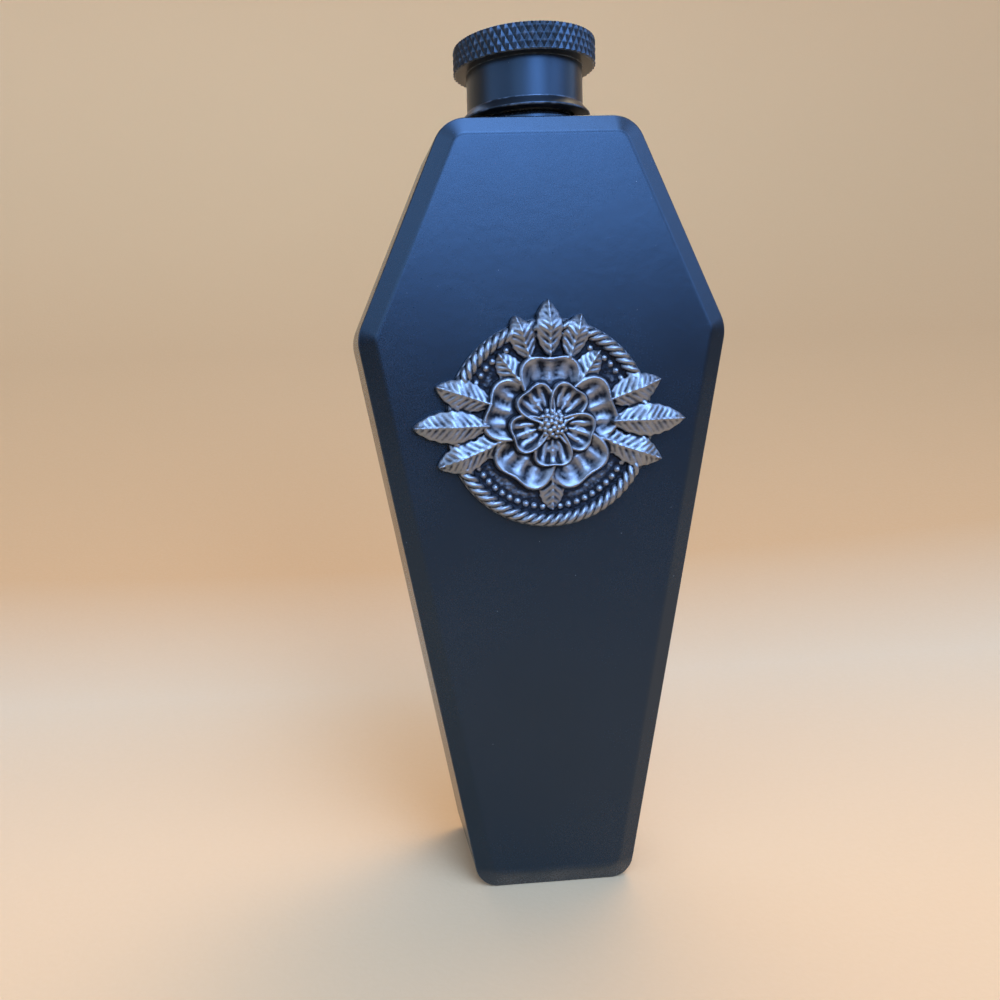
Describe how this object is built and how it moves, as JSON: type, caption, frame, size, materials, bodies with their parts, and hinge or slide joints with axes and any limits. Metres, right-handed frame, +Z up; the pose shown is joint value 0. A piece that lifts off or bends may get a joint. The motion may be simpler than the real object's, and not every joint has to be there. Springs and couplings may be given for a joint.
{
  "type": "coffin flask",
  "caption": "Flat coffin-shaped metal hip flask with bevelled faces, a knurled screw cap on a short neck, and a cast floral badge on its front; carries a drink in a pocket.",
  "frame": {"origin": "middle of the flat foot that the flask stands on", "axes": "+Z up along the flask to its cap, the badge side faces -Y, +X to the right as seen from the front"},
  "size_m": [0.0744, 0.0337, 0.1744],
  "materials": {
    "black_paint": "satin black powder coat",
    "cap_paint": "satin black powder coat over diamond knurl",
    "bare_steel": "turned stainless steel",
    "silicone": "pale silicone",
    "pewter": "antiqued cast pewter, dark in the recesses",
    "tape": "black double-sided foam tape"
  },
  "bodies": {
    "flask": {"side_band": "black_paint", "front_panel": "black_paint", "back_panel": "black_paint", "neck": "bare_steel", "badge": "pewter", "badge_adhesive": "tape"},
    "liner": {"cap_liner": "silicone"},
    "screw_cap": {"cap": "cap_paint"}
  },
  "joints": [
    {"name": "cap_lift", "type": "slide", "parent": "flask", "child": "liner", "axis": [0, 0, 1], "range_m": [0, 0.0101]},
    {"name": "cap_turn", "type": "hinge", "parent": "liner", "child": "screw_cap", "pos_m": [0, 0, 0.165], "axis": [0, 0, 1], "range_deg": [0, 1440]}
  ],
  "couplings": [
    {"joint": "cap_lift", "follows": "cap_turn", "m_per_rad": 0.00039789}
  ]
}
